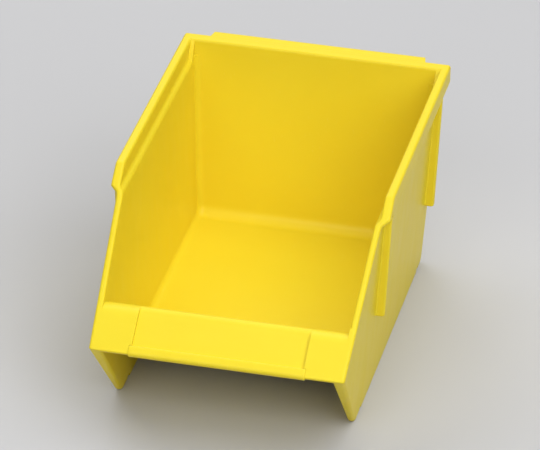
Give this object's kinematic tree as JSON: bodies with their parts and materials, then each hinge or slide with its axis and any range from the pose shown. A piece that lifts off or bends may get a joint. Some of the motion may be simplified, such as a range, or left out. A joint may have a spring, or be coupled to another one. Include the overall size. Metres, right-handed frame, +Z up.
{
  "type": "hanging parts bin",
  "caption": "Open-front plastic parts bin with a hopper front, sloping label panel, stacking rims, side guide ribs and a rear hanging lip for louvred panels.",
  "frame": {"origin": "centre of the footprint (bounding box), on the surface the feet stand on", "axes": "+X across the bin to the right seen from the front, +Y from the front lip to the rear hanging lip, +Z up"},
  "size_m": [0.1, 0.1647, 0.0787],
  "materials": {
    "yellow_plastic": "moulded polypropylene, semi-gloss, lightly textured"
  },
  "bodies": {
    "root": {"back_rim": "yellow_plastic", "back_wall": "yellow_plastic", "floor_panel": "yellow_plastic", "front_ramp": "yellow_plastic", "hanging_hook": "yellow_plastic", "hanging_shelf": "yellow_plastic", "label_ledge": "yellow_plastic", "label_panel": "yellow_plastic", "left_base_rail": "yellow_plastic", "left_front_guide_rib": "yellow_plastic", "left_front_leg": "yellow_plastic", "left_label_end_block": "yellow_plastic", "left_rear_foot": "yellow_plastic", "left_rear_guide_rib": "yellow_plastic", "left_side_wall": "yellow_plastic", "left_stacking_rim": "yellow_plastic", "rear_skirt": "yellow_plastic", "right_base_rail": "yellow_plastic", "right_front_guide_rib": "yellow_plastic", "right_front_leg": "yellow_plastic", "right_label_end_block": "yellow_plastic", "right_rear_foot": "yellow_plastic", "right_rear_guide_rib": "yellow_plastic", "right_side_wall": "yellow_plastic", "right_stacking_rim": "yellow_plastic"}
  },
  "joints": []
}
